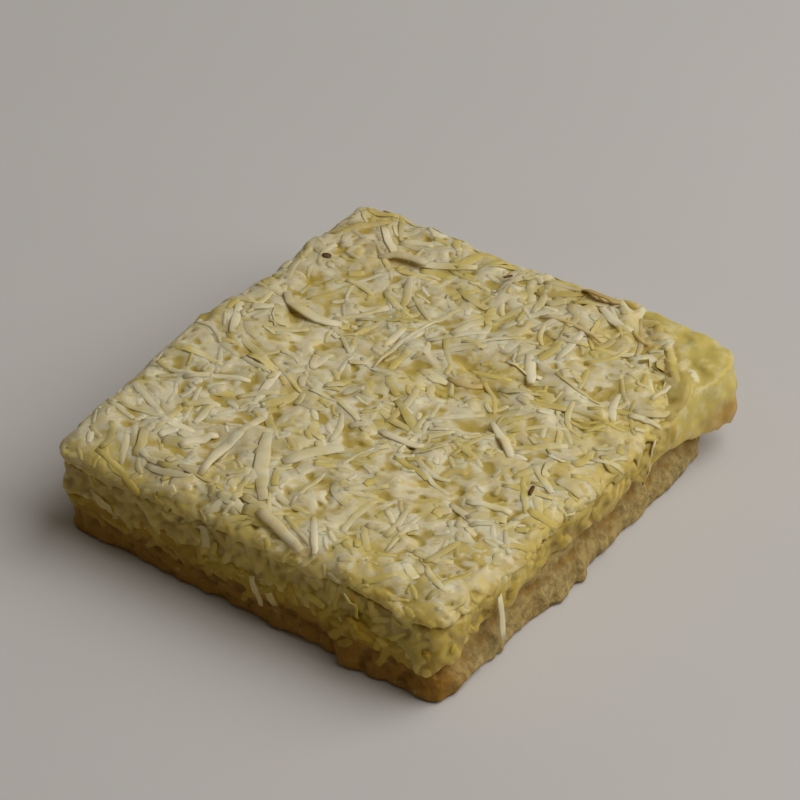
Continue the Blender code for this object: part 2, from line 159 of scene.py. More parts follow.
HUSK_FLECKS = (
    Chosen((28.1, -8.7, 16.2), (27.2, -6.4, 16.2), 0.75, 0.1),
    Chosen((-28.9, 19.3, 16.2), (-27.9, 20.0, 16.2), 1.1, 0.1),
    Chosen((-4.0, 31.0, 16.3), (-3.2, 32.2, 16.3), 0.5, 0.1),
)


class Signal:
    """A value that varies over a surface. Python's signs on it add Math nodes."""

    def __init__(self, recipe, socket):
        self.recipe = recipe
        self.socket = socket

    def math(self, operation, first, second, clamp=False):
        settings = {"operation": operation, "use_clamp": clamp}
        return self.recipe.add("ShaderNodeMath", settings, {0: first, 1: second})

    def __add__(self, other):
        return self.math("ADD", self, other)

    __radd__ = __add__

    def __sub__(self, other):
        return self.math("SUBTRACT", self, other)

    def __rsub__(self, other):
        return self.math("SUBTRACT", other, self)

    def __mul__(self, other):
        return self.math("MULTIPLY", self, other)

    __rmul__ = __mul__

    def between(self, low, high):
        """0 below low, 1 above high, and smooth in the middle."""
        settings = {"interpolation_type": "SMOOTHSTEP"}
        values = {"Value": self, "From Min": low, "From Max": high}
        return self.recipe.add("ShaderNodeMapRange", settings, values)

    def held(self):
        """Kept between 0 and 1."""
        return self.math("ADD", self, 0.0, clamp=True)


class Recipe:
    """A material written as one Principled shader and the patterns that feed it."""

    def __init__(self, name):
        self.material = bpy.data.materials.new(name)
        self.material.use_nodes = True
        self.tree = self.material.node_tree
        self.shader = self.tree.nodes["Principled BSDF"]
        self.place = self.add("ShaderNodeTexCoord", output="Object")

    def add(self, kind, settings=(), values=(), output=0):
        node = self.tree.nodes.new(kind)
        for name, value in dict(settings).items():
            if name == "stops":
                self.set_stops(node.color_ramp, value)
            else:
                setattr(node, name, value)
        self.feed(node, values)
        return Signal(self, node.outputs[output])

    def feed(self, node, values):
        for name, value in dict(values).items():
            if isinstance(value, Signal):
                self.tree.links.new(value.socket, node.inputs[name])
            else:
                node.inputs[name].default_value = value

    @staticmethod
    def set_stops(ramp, stops):
        for position, colour in stops[2:]:
            ramp.elements.new(position)
        for element, (position, colour) in zip(ramp.elements, stops):
            element.position = position
            element.color = colour

    def grain(self, size, detail=2.0, roughness=0.5, stretch=(1.0, 1.0, 1.0)):
        """Soft noise whose blotches are about this size."""
        place = self.place
        if stretch != (1.0, 1.0, 1.0):
            place = self.add("ShaderNodeMapping", (), {"Vector": place, "Scale": stretch})
        values = {"Vector": place, "Scale": 1.0 / size, "Detail": detail, "Roughness": roughness}
        return self.add("ShaderNodeTexNoise", (), values)

    def cells(self, size, feature="F1"):
        """Distance to scattered points, for crumbs and pores."""
        values = {"Vector": self.place, "Scale": 1.0 / size}
        return self.add("ShaderNodeTexVoronoi", {"feature": feature}, values)

    def mix(self, share, first, second, blend="MIX"):
        """Two colours mixed by share."""
        settings = {"data_type": "RGBA", "blend_type": blend}
        return self.add("ShaderNodeMix", settings, {0: share, 6: first, 7: second}, output=2)

    def written(self, name):
        """A value written on the mesh's own points."""
        return self.add("ShaderNodeAttribute", {"attribute_name": name}, output="Fac")

    def fibres(self):
        """Fine streaks along each shred, drawn from the place across it."""
        values = {"W": self.written("across"), "Scale": 3.2, "Detail": 2.0}
        return self.add("ShaderNodeTexNoise", {"noise_dimensions": "1D"}, values)

    def along(self, axis):
        """The place along one axis of the slice."""
        return self.add("ShaderNodeSeparateXYZ", (), {"Vector": self.place}, output=axis)

    def bump(self, height, distance, strength=1.0):
        values = {"Height": height, "Distance": distance, "Strength": strength}
        return self.add("ShaderNodeBump", (), values, output="Normal")


def sun_colour(group, name):
    return (*getattr(group, name), 1.0)


def waves(point, size, seed):
    """A smooth value from about -1 to 1 that changes over the given size."""
    return noise.noise(Vector(point) / size + Vector((seed, 1.7 * seed, -0.9 * seed)))


def smooth_step(value):
    value = min(1.0, max(0.0, value))
    return value * value * (3.0 - 2.0 * value)


def deselect_all():
    if bpy.context.mode != "OBJECT":
        bpy.ops.object.mode_set(mode="OBJECT")
    bpy.ops.object.select_all(action="DESELECT")


def make_active(obj):
    deselect_all()
    obj.select_set(True)
    bpy.context.view_layer.objects.active = obj


def copy_of_node(node, name):
    """A CAD node's own form as a new piece, its loose triangles merged."""
    piece = bpy.data.objects.new(name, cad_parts[node].data.copy())
    piece.data.name = name
    piece.data.materials.clear()
    bpy.context.scene.collection.objects.link(piece)
    make_active(piece)
    bpy.ops.object.mode_set(mode="EDIT")
    bpy.ops.mesh.select_all(action="SELECT")
    bpy.ops.mesh.remove_doubles(threshold=0.000001)
    bpy.ops.object.mode_set(mode="OBJECT")
    return piece


def apply_modifier(piece, kind, **settings):
    make_active(piece)
    modifier = piece.modifiers.new(kind.lower(), kind)
    for name, value in settings.items():
        setattr(modifier, name, value)
    bpy.ops.object.modifier_apply(modifier=modifier.name)


def finish_piece(piece, recipe, node=None):
    piece.data.materials.append(recipe.material)
    make_active(piece)
    bpy.ops.object.shade_smooth()
    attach(piece, BODY)
    if node:
        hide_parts(node)
    deselect_all()


def move_points(piece, shift):
    """Moves each point of a mesh by shift(place, normal)."""
    for vertex, normal in zip(piece.data.vertices, piece.data.vertex_normals):
        vertex.co += shift(vertex.co.copy(), normal.vector.copy())
    piece.data.update()


class SliceColours(bpy.types.PropertyGroup):
    biscuit: bpy.props.FloatVectorProperty(
        name="Biscuit", description="Crumb of the base", subtype="COLOR", default=(0.41, 0.30, 0.11)
    )
    # Besides buttery crumb, this colour is painted shade on the -Y side and in the low places of the base.
    biscuit_golden: bpy.props.FloatVectorProperty(
        name="Golden Biscuit",
        description="Buttery, baked parts of the base",
        subtype="COLOR",
        default=(0.33, 0.165, 0.018),
    )
    # Besides the browned foot, this colour is painted shade on the -Y side of the base.
    biscuit_brown: bpy.props.FloatVectorProperty(
        name="Brown Foot",
        description="Foot of the base, browned by the tin",
        subtype="COLOR",
        default=(0.15, 0.07, 0.006),
    )
    curd: bpy.props.FloatVectorProperty(
        name="Curd", description="Lemon curd", subtype="COLOR", default=(0.56, 0.41, 0.07)
    )
    # Besides thick curd, this colour is painted shade in the low places of the curd.
    curd_deep: bpy.props.FloatVectorProperty(
        name="Deep Curd",
        description="Lemon curd where it is thick or in a hollow",
        subtype="COLOR",
        default=(0.38, 0.235, 0.02),
    )
    curd_pale: bpy.props.FloatVectorProperty(
        name="Pale Curd", description="Milky parts of the curd", subtype="COLOR", default=(0.78, 0.69, 0.34)
    )
    curd_bare: bpy.props.FloatVectorProperty(
        name="Bare Curd",
        description="Clear yellow curd of the corner that has no coconut",
        subtype="COLOR",
        default=(0.70, 0.56, 0.14),
    )
    curd_baked: bpy.props.FloatVectorProperty(
        name="Baked Curd",
        description="Edge of the curd that the tin browned",
        subtype="COLOR",
        default=(0.50, 0.27, 0.03),
    )
    coconut: bpy.props.FloatVectorProperty(
        name="Coconut", description="Clean coconut", subtype="COLOR", default=(0.89, 0.79, 0.52)
    )
    coconut_soaked: bpy.props.FloatVectorProperty(
        name="Soaked Coconut",
        description="Coconut stained by the curd",
        subtype="COLOR",
        default=(0.74, 0.58, 0.17),
    )
    coconut_toasted: bpy.props.FloatVectorProperty(
        name="Toasted Coconut",
        description="Coconut browned in the oven",
        subtype="COLOR",
        default=(0.60, 0.40, 0.14),
    )
    # Besides coconut full of curd, this colour is painted shade on the -Y side.
    coconut_steeped_and_shaded: bpy.props.FloatVectorProperty(
        name="Steeped Coconut",
        description="Coconut at the cut sides, full of curd",
        subtype="COLOR",
        default=(0.53, 0.37, 0.035),
    )
    husk: bpy.props.FloatVectorProperty(
        name="Husk", description="Flecks of brown husk", subtype="COLOR", default=(0.10, 0.042, 0.014)
    )
    # The hollow colours are partly the soaked bed between shreds and partly painted shade in the low
    # places.
    hollow: bpy.props.FloatVectorProperty(
        name="Hollow",
        description="Soaked hollows between shreds",
        subtype="COLOR",
        default=(0.56, 0.41, 0.07),
    )
    hollow_golden: bpy.props.FloatVectorProperty(
        name="Golden Hollow",
        description="Hollows that the oven turned golden",
        subtype="COLOR",
        default=(0.55, 0.38, 0.055),
    )


class ShredSizes(bpy.types.PropertyGroup):
    width: bpy.props.FloatProperty(
        name="Width", description="Usual width of a shred", unit="LENGTH", default=1.3 * MM
    )
    length: bpy.props.FloatProperty(
        name="Length", description="Usual length of a shred", unit="LENGTH", default=6.2 * MM
    )
    thickness: bpy.props.FloatProperty(
        name="Thickness", description="Thickness of a loose shred", unit="LENGTH", default=0.14 * MM
    )
    pressed_thickness: bpy.props.FloatProperty(
        name="Pressed Thickness",
        description="Thickness of a shred that is pressed in",
        unit="LENGTH",
        default=0.42 * MM,
    )
    pressed_height: bpy.props.FloatProperty(
        name="Pressed Height",
        description="How high the pressed shreds pile up at most",
        unit="LENGTH",
        default=0.45 * MM,
    )
    loose_height: bpy.props.FloatProperty(
        name="Loose Height",
        description="How high the loose shreds pile up at most",
        unit="LENGTH",
        default=0.2 * MM,
    )
    sunk: bpy.props.FloatProperty(
        name="Sunk", description="How far the bed lies under the heap", unit="LENGTH", default=0.7 * MM
    )
    seed: bpy.props.IntProperty(name="Seed", description="Which chance arrangement", default=7)


class StageSettings(bpy.types.PropertyGroup):
    floor: bpy.props.FloatVectorProperty(
        name="Floor", description="Colour of the floor", subtype="COLOR", default=(0.705, 0.68, 0.655)
    )
    key_power: bpy.props.FloatProperty(
        name="Key Light", description="Power of the window-like key light", unit="POWER", default=6.4
    )
    key_size: bpy.props.FloatProperty(
        name="Key Size", description="Side of the key light", unit="LENGTH", default=0.95
    )
    fill: bpy.props.FloatProperty(
        name="Fill", description="Brightness of the light from all round", default=0.102
    )
    camera_distance: bpy.props.FloatProperty(
        name="Camera Distance", description="From the slice's middle", unit="LENGTH", default=0.6537
    )


def colours():
    return bpy.context.scene.slice_colours


def biscuit_recipe():
    recipe = Recipe("baked_biscuit")
    tones = colours()
    crumb = recipe.grain(1.7 * MM, 4.0, 0.6)
    specks = recipe.grain(0.5 * MM, 2.0, 0.6)
    clumps = recipe.cells(1.2 * MM)
    broad = recipe.grain(9.0 * MM, 2.0, 0.5)
    height = recipe.along("Z")
    uneven = (crumb - 0.5) * (2.4 * MM)
    foot = 1.0 - (height + uneven * 0.5).between(0.0, 1.0 * MM)
    # browned marks the -Y side, which faces away from the key light: painted shade makes it golden and, in
    # broad patches and low places, brown. The curd stain near its top is also kept to this side.
    browned = 1.0 - (recipe.along("Y") + uneven).between(-36.5 * MM, -31.0 * MM)
    # The low places of the base are painted golden: painted shade in the hollows.
    low = recipe.written("low").between(0.0, 0.2)
    golden = sun_colour(tones, "biscuit_golden")
    brown = sun_colour(tones, "biscuit_brown")
    light = tuple(min(1.0, 1.2 * c) for c in tones.biscuit)
    dark = tuple(0.8 * c for c in tones.biscuit)
    colour = recipe.mix(crumb.between(0.38, 0.62), (*dark, 1.0), (*light, 1.0))
    pale = tuple(min(1.0, 1.7 * c) for c in tones.biscuit)
    colour = recipe.mix(specks.between(0.54, 0.66) * 0.4, colour, (*pale, 1.0))
    colour = recipe.mix(broad.between(0.4, 0.7) * 0.3, colour, golden)
    colour = recipe.mix(low * 0.6, colour, golden)
    pale_crumbs = crumb.between(0.54, 0.68) * specks.between(0.42, 0.6)
    colour = recipe.mix(browned * (1.0 - pale_crumbs * 0.6), colour, golden)
    dark_parts = broad.between(0.45, 0.65) * 0.3 + low * 0.6
    colour = recipe.mix((browned * dark_parts).held(), colour, brown)
    soaked = browned * (height + uneven * 2.0).between(4.2 * MM, 7.4 * MM)
    colour = recipe.mix(soaked * 0.85, colour, sun_colour(tones, "curd_deep"))
    colour = recipe.mix(foot * 0.7, colour, brown)
    cover = recipe.written("cover").between(0.2, 0.9)
    colour = recipe.mix(cover * 0.5, colour, shred_colour(recipe))
    relief = crumb * 0.6 + specks * 0.25 - clumps * 0.35
    values = {
        "Base Color": colour,
        "Roughness": 0.55 + specks * 0.2,
        "Normal": recipe.bump(relief, 0.7 * MM, 0.9),
        "Subsurface Weight": 0.25,
        "Subsurface Radius": (1.0, 0.6, 0.25),
        "Subsurface Scale": 0.6 * MM,
        "Specular IOR Level": 0.2,
    }
    recipe.feed(recipe.shader, values)
    return recipe


def shred_colour(recipe):
    """Moist shreds. Tint, soak, toast and the place across are written on each shred's points."""
    tones = colours()
    patches = recipe.grain(4.8 * MM, 3.0, 0.55)
    soak = recipe.written("soak")
    wet = (soak + 0.06 + (patches - 0.5) * 3.0).held()
    colour = recipe.mix(wet, sun_colour(tones, "coconut"), sun_colour(tones, "coconut_soaked"))
    height = recipe.along("Z") + (patches - 0.5) * (9.0 * MM)
    side = 1.0 - height.between(10.5 * MM, 15.2 * MM)
    ragged = (patches - 0.5) * (6.0 * MM)
    # front and below_rim mark the lower -Y side, which faces away from the key light; the dark olive-gold
    # coconut colour there is painted shade. side and right are curd stains.
    front = 1.0 - (recipe.along("Y") + ragged).between(-39.5 * MM, -34.0 * MM)
    right = (recipe.along("X") + ragged).between(30.5 * MM, 35.5 * MM)
    below_rim = 1.0 - height.between(12.5 * MM, 16.5 * MM)
    edge = (front * below_rim * 0.9 + right * 0.6).held()
    steeped_and_shaded = recipe.add("ShaderNodeMath", {"operation": "MAXIMUM"}, {0: side, 1: edge})
    clean = (soak * -1.0).held()
    steeped_and_shaded = steeped_and_shaded * (1.0 - recipe.written("tint") * 0.25) * (1.0 - clean)
    colour = recipe.mix(steeped_and_shaded, colour, sun_colour(tones, "coconut_steeped_and_shaded"))
    toasted = recipe.written("toast").held()
    colour = recipe.mix(toasted, colour, sun_colour(tones, "coconut_toasted"))
    # Along X the shreds are painted darker towards -X and lighter towards +X: a painted falloff of the key
    # light. Tint and clumps are the shreds' own tones. Blue drops faster than red and green as they darken,
    # so darker shreds turn warmer: painted warm shade.
    painted_light_falloff = recipe.along("X").between(-40.0 * MM, 30.0 * MM)
    clumps = recipe.grain(3.2 * MM, 2.0, 0.5) - 0.5
    shade = 0.79 + painted_light_falloff * 0.11 + recipe.written("tint") * 0.2 + clumps * 0.35
    warmer = shade * 1.15 - 0.15
    tones_down = {"Red": shade, "Green": shade, "Blue": warmer}
    tone_and_painted_falloff = recipe.add("ShaderNodeCombineColor", (), tones_down, output="Color")
    return recipe.mix(1.0, colour, tone_and_painted_falloff, "MULTIPLY")


def coconut_recipe(name):
    recipe = Recipe(name)
    fibres = recipe.fibres()
    values = {
        "Base Color": shred_colour(recipe),
        "Roughness": 0.42 + fibres * 0.2,
        "Normal": recipe.bump(fibres, 0.03 * MM, 0.3),
        "Subsurface Weight": 0.2,
        "Subsurface Radius": (1.0, 0.8, 0.4),
        "Subsurface Scale": 0.3 * MM,
        "Specular IOR Level": 0.3,
    }
    recipe.feed(recipe.shader, values)
    return recipe


def husk_recipe():
    recipe = Recipe("coconut_husk")
    tone = tuple(colours().husk)
    light = (*(min(1.0, 2.6 * c) for c in tone), 1.0)
    fibres = recipe.fibres()
    values = {
        "Base Color": recipe.mix(fibres.between(0.45, 0.8), (*tone, 1.0), light),
        "Roughness": 0.5 + fibres * 0.2,
        "Normal": recipe.bump(fibres, 0.1 * MM, 0.6),
    }
    recipe.feed(recipe.shader, values)
    return recipe


def matted_recipe():
    """Coconut baked into one mat: shreds with golden hollows between them, where the soaked bed shows and
    where painted shade darkens the low places.
    """
    recipe = Recipe("matted_coconut")
    tones = colours()
    clumps = recipe.grain(1.4 * MM, 3.0, 0.6)
    patches = recipe.grain(8.0 * MM, 2.0, 0.5)
    fibres = recipe.fibres()
    deep = recipe.mix(
        patches.between(0.4, 0.7), sun_colour(tones, "hollow"), sun_colour(tones, "hollow_golden")
    )
    bare = 1.0 - recipe.written("cover").between(0.1, 0.8)
    # The low places get the hollow colour as painted shade; where no shred lies, the soaked bed shows its
    # own colour.
    low = recipe.written("low").between(0.0, 0.16)
    hollow = (low * 0.95 + bare * (0.25 + clumps * 0.4)).held()
    values = {
        "Base Color": recipe.mix(hollow, shred_colour(recipe), deep),
        "Roughness": 0.42 + fibres * 0.2,
        "Normal": recipe.bump(clumps * 0.5 + fibres * 0.2, 0.18 * MM, 0.5),
        "Subsurface Weight": 0.7,
        "Subsurface Radius": (1.0, 0.8, 0.4),
        "Subsurface Scale": 1.0 * MM,
    }
    recipe.feed(recipe.shader, values)
    return recipe


def curd_recipe():
    """Lemon curd, golden and flecked with milky pulp, clear yellow in the bare corner."""
    recipe = Recipe("lemon_curd")
    tones = colours()
    blotches = recipe.grain(5.0 * MM, 3.0, 0.55)
    pulp = recipe.grain(2.2 * MM, 3.0, 0.55)
    fibres = recipe.fibres()
    height = recipe.along("Z")
    # The low places of the curd are painted deep gold and carry less coconut colour: painted shade in the
    # hollows.
    low = recipe.written("low").between(-0.05, 0.2)
    colour = recipe.mix(
        blotches.between(0.38, 0.66), sun_colour(tones, "curd_deep"), sun_colour(tones, "curd")
    )
    colour = recipe.mix(pulp.between(0.5, 0.7) * 0.45, colour, sun_colour(tones, "curd_pale"))
    colour = recipe.mix(low * 0.6, colour, sun_colour(tones, "curd_deep"))
    bare = recipe.written("bare")
    clear = recipe.mix(
        pulp.between(0.5, 0.66) * 0.75, sun_colour(tones, "curd_bare"), sun_colour(tones, "curd_pale")
    )
    edge = 1.0 - (height + (blotches - 0.5) * (4.0 * MM)).between(8.0 * MM, 12.5 * MM)
    end = (recipe.along("X") + recipe.along("Y")).between(58.0 * MM, 70.0 * MM)
    clear = recipe.mix(edge * (0.3 + end * 0.6), clear, sun_colour(tones, "curd_baked"))
    colour = recipe.mix(bare, colour, clear)
    cover = recipe.written("cover").between(0.15, 0.85) * (1.0 - low * 0.6)
    values = {
        "Base Color": recipe.mix(cover, colour, shred_colour(recipe)),
        "Roughness": 0.34 + fibres * 0.2,
        "Normal": recipe.bump(pulp * 0.6 + fibres * 0.2, 0.35 * MM, 0.6),
        "Subsurface Weight": 0.5,
        "Subsurface Radius": (1.0, 0.75, 0.2),
        "Subsurface Scale": 1.2 * MM,
        "Coat Weight": 0.12,
        "Coat Roughness": 0.3,
    }
    recipe.feed(recipe.shader, values)
    return recipe


def flat_level(piece, way):
    """The height at which most of a piece's flat faces that look up, or down, lie."""
    faces = [f for f in piece.data.polygons if f.normal.z * way > 0.9999]
    heights = np.array([f.center.z for f in faces])
    areas = np.array([f.area for f in faces])
    counts, edges = np.histogram(heights, bins=400, weights=areas)
    return float(edges[counts.argmax()] + edges[counts.argmax() + 1]) / 2.0


def inside_tile(place):
    """Whether a spot lies clear of the rows that part the tiles."""
    return all(abs(value - round(value / TILE) * TILE) > TILE_GAP for value in place[:2])


def merge_flat_faces(piece, way, margin, tiled=False):
    """Makes one face of the hidden flat part that looks up, or down, or tiles where shreds stand in it."""
    level = flat_level(piece, way)
    make_active(piece)
    bpy.ops.object.mode_set(mode="EDIT")
    bpy.ops.mesh.select_mode(type="FACE")
    bpy.ops.mesh.select_all(action="DESELECT")
    mesh = bmesh.from_edit_mesh(piece.data)
    for face in mesh.faces:
        middle = face.calc_center_median()
        flat = face.normal.z * way > 0.999 and abs(middle.z - level) < 0.06 * MM
        inside = abs(middle.x) < BASE_HIGH.x - margin and abs(middle.y) < BASE_HIGH.y - margin
        face.select_set(flat and inside and (not tiled or inside_tile(middle)))
    bmesh.update_edit_mesh(piece.data)
    bpy.ops.mesh.dissolve_faces(use_verts=False)
    bpy.ops.object.mode_set(mode="OBJECT")


class SLICE_OT_biscuit_base(bpy.types.Operator):
    """Model the crumbly biscuit base"""

    bl_idname = "slice.biscuit_base"
    bl_label = "Biscuit Base"

    def execute(self, context):
        piece = copy_of_node("biscuit_base", "crumbly_biscuit")
        apply_modifier(piece, "REMESH", mode="VOXEL", voxel_size=BISCUIT_MESH)
        apply_modifier(piece, "SMOOTH", factor=0.5, iterations=6)
        move_points(piece, self.crumble)
        finish_piece(piece, biscuit_recipe(), "biscuit_base")
        return {"FINISHED"}

    @staticmethod
    def crumble(place, normal):
        """Crags and crumbs on the cut sides, coarser at the foot, fading at the flat top and underside."""
        cut = smooth_step((0.95 - abs(normal.z)) / 0.5)
        foot = 1.0 - smooth_step((place.z - 2.5 * MM) / (2.5 * MM))
        distances, _ = noise.voronoi(place / (1.7 * MM))
        crumbs = (0.25 + 0.55 * foot) * MM * (0.5 - distances[0])
        crags = 0.5 * MM * waves(place, 2.8 * MM, 5) + 0.22 * MM * waves(place, 1.1 * MM, 9)
        grit = 0.1 * MM * waves(place, 0.5 * MM, 13)
        front = smooth_step((BASE_LOW.y + 6.0 * MM - place.y) / (2.0 * MM))
        crags += 0.5 * MM * front * smooth_step(-normal.y) * smooth_step((place.z - 4.0 * MM) / (2.5 * MM))
        lumps = 0.0
        for lump in FOOT_LUMPS:
            away = math.hypot(place.x - lump.x * MM, place.y - lump.y * MM) / (lump.reach * MM)
            lumps = max(lumps, lump.out * MM * foot * smooth_step(1.3 * (1.0 - away)))
        shift = normal * cut * (crumbs + crags + grit + lumps) * smooth_step(place.z / (0.5 * MM))
        to_curd = front * smooth_step((place.z - 6.0 * MM) / (1.2 * MM))
        return shift + Vector((0.0, -0.1, 0.8 + 0.9 * waves(place, 4.5 * MM, 11))) * MM * to_curd


class SLICE_OT_lemon_layer(bpy.types.Operator):
    """Model the moist lemon curd"""

    bl_idname = "slice.lemon_layer"
    bl_label = "Lemon Curd"

    def execute(self, context):
        piece = copy_of_node("lemon_layer", "lemon_curd")
        apply_modifier(piece, "REMESH", mode="VOXEL", voxel_size=CURD_MESH)
        apply_modifier(piece, "SMOOTH", factor=0.5, iterations=8)
        move_points(piece, self.dimple)
        apply_modifier(piece, "SMOOTH", factor=0.5, iterations=5)
        finish_piece(piece, curd_recipe(), "lemon_layer")
        return {"FINISHED"}

    @classmethod
    def dimple(cls, place, normal):
        """Soft lumps on the cut sides and on the bare corner, which is filled up to the coconut."""
        past = past_the_coconut(place)
        cut = smooth_step((0.97 - abs(normal.z)) / 0.4)
        bare = smooth_step((place.z - 14.0 * MM) / (0.6 * MM))
        lumps = 0.55 * MM * waves(place, 2.6 * MM, 15) + 0.3 * MM * waves(place, 1.1 * MM, 18)
        covered = cut * smooth_step(-past / (3.0 * MM))
        shift = normal * (max(cut, 0.6 * bare) * lumps - 0.3 * MM * covered)
        shift.z += cls.filled(place, normal, past)
        return shift + cls.lip(place, normal) * smooth_step(-past / (3.0 * MM))

    @staticmethod
    def filled(place, normal, past):
        """How far the curd rises between the coconut and the swell of the bare corner."""
        if normal.z < 0.3 or past < -3.0 * MM or place.z < 12.0 * MM:
            return 0.0
        angle = math.degrees(math.atan2(place.y - BARE_FROM_Y * MM, place.x - BARE_FROM_X * MM))
        level = (13.4 + 2.5 * smooth_step((angle - 12.0) / 22.0)) * MM - 0.12 * max(0.0, past)
        level += 0.7 * MM * waves(place, 3.4 * MM, 31)
        return max(0.0, level - place.z) * smooth_step((past + 2.8 * MM) / (1.2 * MM))

    @staticmethod
    def lip(place, normal):
        """The ragged lower edge hangs over the base, and the upper one meets the coconut."""
        inside = min(BASE_HIGH.x - abs(place.x), BASE_HIGH.y - abs(place.y))
        rim = 1.0 - smooth_step((inside - 0.5 * MM) / (2.5 * MM))
        ragged = 0.7 + 1.7 * waves(place, 3.8 * MM, 41) + 0.8 * waves(place, 1.3 * MM, 43)
        from_corner = math.hypot(place.x - NEAR_CORNER.x, place.y - NEAR_CORNER.y)
        ragged += 2.4 * (1.0 - smooth_step(from_corner / (13.0 * MM)))
        lower = 1.0 - smooth_step((place.z - 8.6 * MM) / (1.6 * MM))
        drop = max(0.0, ragged) * lower
        upper = smooth_step((place.z - 11.4 * MM) / (1.0 * MM))
        front = smooth_step((BASE_LOW.y + 3.0 * MM - place.y) / (1.5 * MM))
        outwards = Vector((normal.x, normal.y, 0.0)) * (0.3 * drop)
        return (outwards + Vector((0.0, -0.8 * lower * front, 0.5 * upper - drop))) * rim * MM


class SLICE_OT_coconut_bed(bpy.types.Operator):
    """Model the closely matted coconut that carries the shreds"""

    bl_idname = "slice.coconut_bed"
    bl_label = "Coconut Bed"

    def execute(self, context):
        piece = copy_of_node("coconut_topping", "matted_coconut")
        apply_modifier(piece, "REMESH", mode="VOXEL", voxel_size=BED_MESH)
        apply_modifier(piece, "SMOOTH", factor=0.5, iterations=34)
        move_points(piece, self.sink)
        finish_piece(piece, matted_recipe(), "coconut_topping")
        return {"FINISHED"}

    @staticmethod
    def sink(place, normal):
        """Lowers the bed to make room for the shreds on it, and makes it uneven."""
        sunk = bpy.context.scene.shred_sizes.sunk
        room = smooth_step((normal.z + 0.6) / 0.6)
        uneven = 0.5 * MM * waves(place, 4.5 * MM, 25) + 0.25 * MM * waves(place, 1.8 * MM, 27)
        lowered = -room * sunk * max(0.6, normal.z)
        shift = normal * (lowered + room * uneven)
        front = 1.0 - smooth_step((place.y - BASE_LOW.y) / (6.0 * MM))
        arc = smooth_step((past_the_coconut(place) + 3.0 * MM) / (3.0 * MM))
        shift.z -= room * max(0.0, normal.z) * max(1.2 * front, 0.7 * arc) * MM
        return shift


class Heap:
    """What shreds are laid on: a surface, and how high they already lie on each spot of it."""

    CELL = 0.35 * MM

    def __init__(self, pieces):
        points, faces = [], []
        for piece in pieces:
            first = len(points)
            points.extend(vertex.co.copy() for vertex in piece.data.vertices)
            for face in piece.data.polygons:
                faces.append([first + index for index in face.vertices])
        self.tree = BVHTree.FromPolygons(points, faces)
        self.laid = {}

    def touch(self, place):
        spot, normal, _, _ = self.tree.find_nearest(place)
        return spot, normal

    def hidden(self, place, normal):
        hit = self.tree.ray_cast(place + normal * 0.25 * MM, normal, 4.0 * MM)
        return hit[0] is not None

    def cell(self, spot, normal):
        axis = max(range(3), key=lambda k: abs(normal[k]))
        others = [round(spot[k] / self.CELL) for k in range(3) if k != axis]
        return (axis, normal[axis] > 0, *others)

    def height(self, spot, normal):
        return self.laid.get(self.cell(spot, normal), 0.0)

    def cover(self, spot, normal, height):
        cell = self.cell(spot, normal)
        if height > self.laid.get(cell, 0.0):
            self.laid[cell] = height


def shred_form(name, segments):
    """The plain flat shred that all copies are made from, one unit each way, lying along X."""
    deselect_all()
    bpy.ops.mesh.primitive_cylinder_add(
        vertices=6, radius=0.5, depth=1.0, rotation=(0.0, math.pi / 2.0, 0.0)
    )
    bpy.ops.object.transform_apply(location=False, rotation=True, scale=False)
    form = bpy.context.object
    form.name = name
    bpy.ops.object.mode_set(mode="EDIT")
    bpy.ops.mesh.select_mode(type="EDGE")
    bpy.ops.mesh.select_all(action="DESELECT")
    mesh = bmesh.from_edit_mesh(form.data)
    for edge in mesh.edges:
        edge.select_set(abs(edge.verts[0].co.x - edge.verts[1].co.x) > 0.5)
    bmesh.update_edit_mesh(form.data)
    bpy.ops.mesh.subdivide(number_cuts=segments - 1)
    bpy.ops.object.mode_set(mode="OBJECT")
    return form


class Form:
    """A shred form's points by station along it, and its faces, read once for all its copies."""

    def __init__(self, form):
        mesh = form.data
        self.points = np.array([vertex.co[:] for vertex in mesh.vertices])
        wide = np.abs(self.points[:, 1:]).max(axis=0)
        if wide[1] > wide[0]:
            self.points = self.points[:, [0, 2, 1]] * np.array([1.0, 1.0, -1.0])
        inner = np.abs(self.points[:, 1]) < 0.4
        self.points[inner, 1] = np.sign(self.points[inner, 1]) * UPPER_EDGE
        self.points[self.points[:, 2] < 0.1, 2] = UNDERSIDE
        self.faces = [list(face.vertices) for face in mesh.polygons]
        self.stations = sorted({round(x, 4) for x in self.points[:, 0]})
        near = np.abs(self.points[:, :1] - np.array(self.stations)[None, :])
        self.station_of = near.argmin(axis=1)
        bpy.data.objects.remove(form)


class Shred:
    """One shred's own size and bend."""

    def __init__(self, kind, draw):
        self.length = kind.length * draw.uniform(0.6, 1.35)
        self.width = kind.width * draw.uniform(0.7, 1.35)
        self.thickness = kind.thickness * draw.uniform(0.75, 1.3)
        self.bend = draw.normal(0.0, 0.45) / max(self.length, 1.0 * MM)
        self.taper = kind.taper * draw.uniform(0.5, 1.3)
        self.curl = kind.curl * max(0.0, draw.normal(0.3, 0.6))
        self.sway = draw.uniform(0.0, 100.0)
        self.strays = min(6.0, draw.exponential(2.4)) * MM

    def fit(self, chosen):
        """Takes the size of a listed shred."""
        self.length = (Vector(chosen.end) - Vector(chosen.start)).length * MM
        self.width = chosen.width * MM
        self.taper = 0.35
        self.curl = 0.0


def past_the_coconut(place):
    """How far out in the bare corner a place is, beyond the arc where the coconut ends."""
    x, y = place.x - BARE_FROM_X * MM, place.y - BARE_FROM_Y * MM
    if min(x, y) < 0.0:
        return -BARE_RADIUS * MM
    return math.hypot(x, y) - BARE_RADIUS * MM


